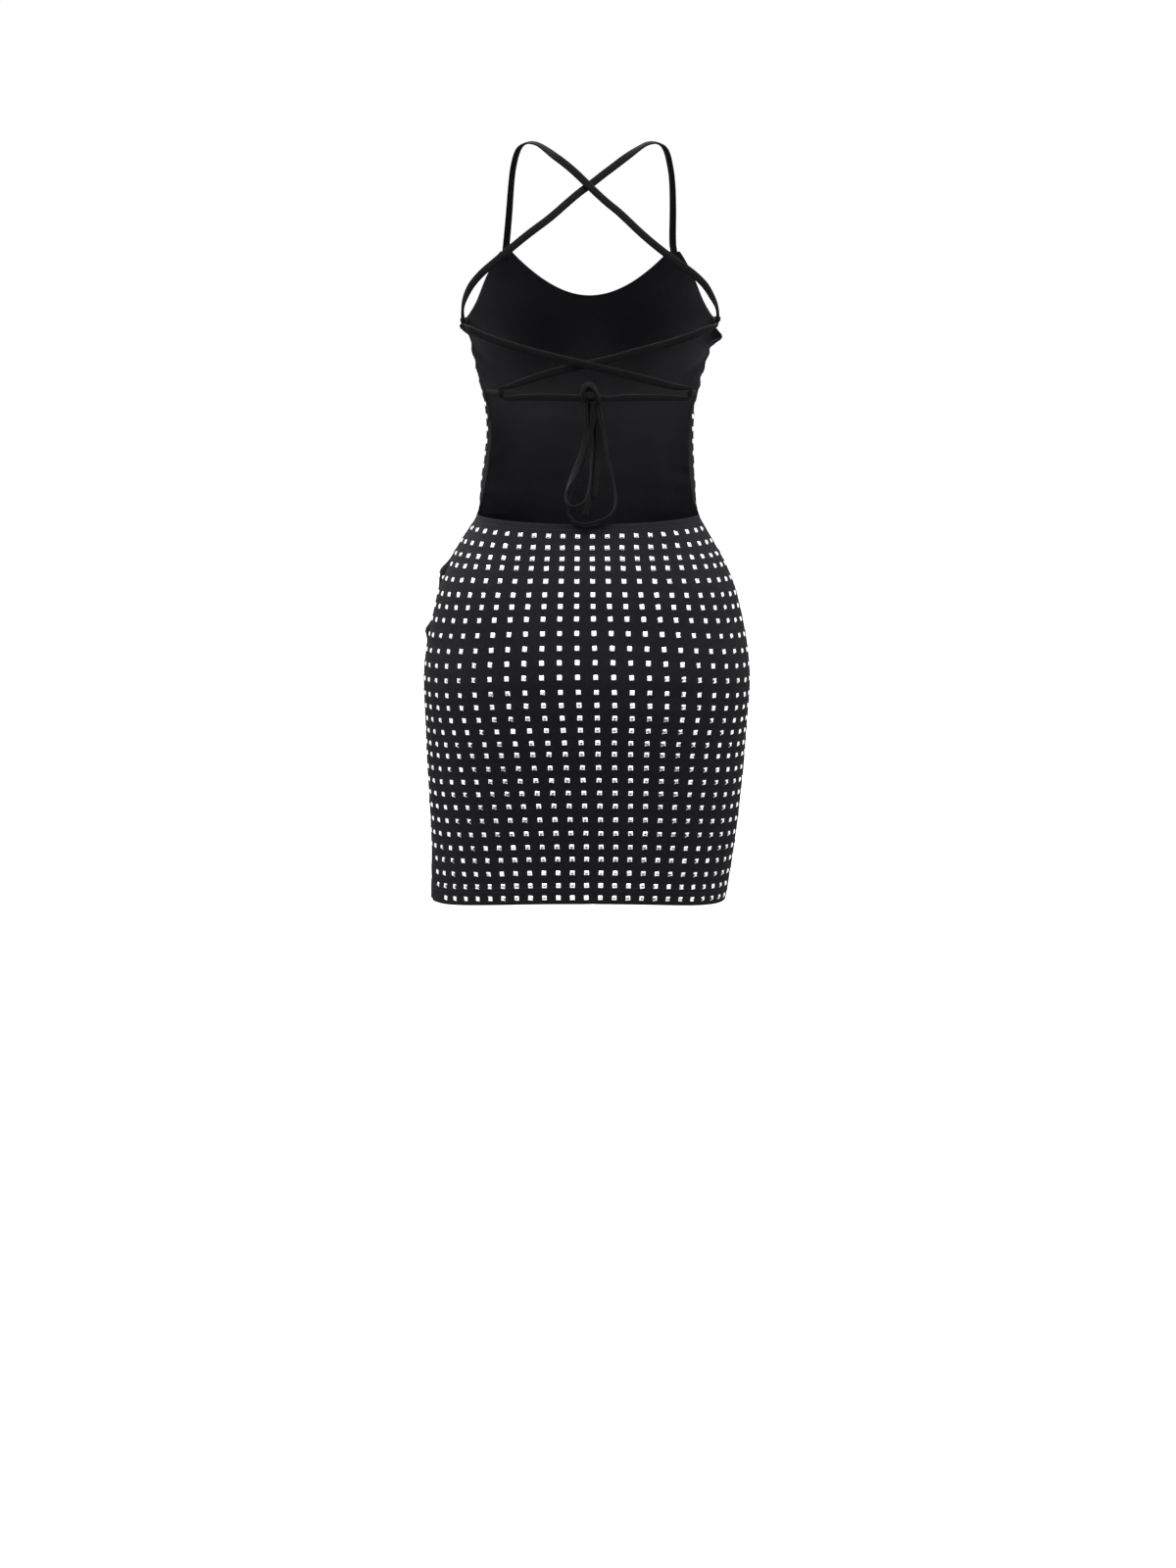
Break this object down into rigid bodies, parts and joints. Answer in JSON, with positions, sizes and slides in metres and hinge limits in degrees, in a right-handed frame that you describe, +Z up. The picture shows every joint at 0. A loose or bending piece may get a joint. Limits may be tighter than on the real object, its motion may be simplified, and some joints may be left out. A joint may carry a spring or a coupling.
{
  "type": "bodycon dress",
  "caption": "Black stretch jersey bodycon mini dress, sleeveless, with an open back laced by two long crossed straps tied in a bow, and rows of small flat metal studs",
  "frame": {"origin": "Midway between the tops of the two shoulder straps, where the wearer's shoulders carry the dress", "axes": "+Z up; the open back faces +Y, the front -Y; +X is the wearer's left"},
  "size_m": [0.347, 0.2555, 0.7921],
  "materials": {
    "jersey": "matte black stretch knit",
    "strap": "matte black jersey sewn into a flat tube",
    "stud": "polished flat pyramid studs"
  },
  "bodies": {
    "root": {"front_panel": "jersey", "back_skirt_left": "jersey", "back_skirt_right": "jersey", "strap_left": "strap", "strap_right": "strap", "bust_loop_left": "strap", "bust_loop_right": "strap", "waist_loop_left": "strap", "waist_loop_right": "strap", "bow_knot": "strap", "bow_loop_large": "strap", "bow_loop_small": "strap", "bow_tail_left": "strap", "bow_tail_right": "strap"}
  },
  "joints": []
}
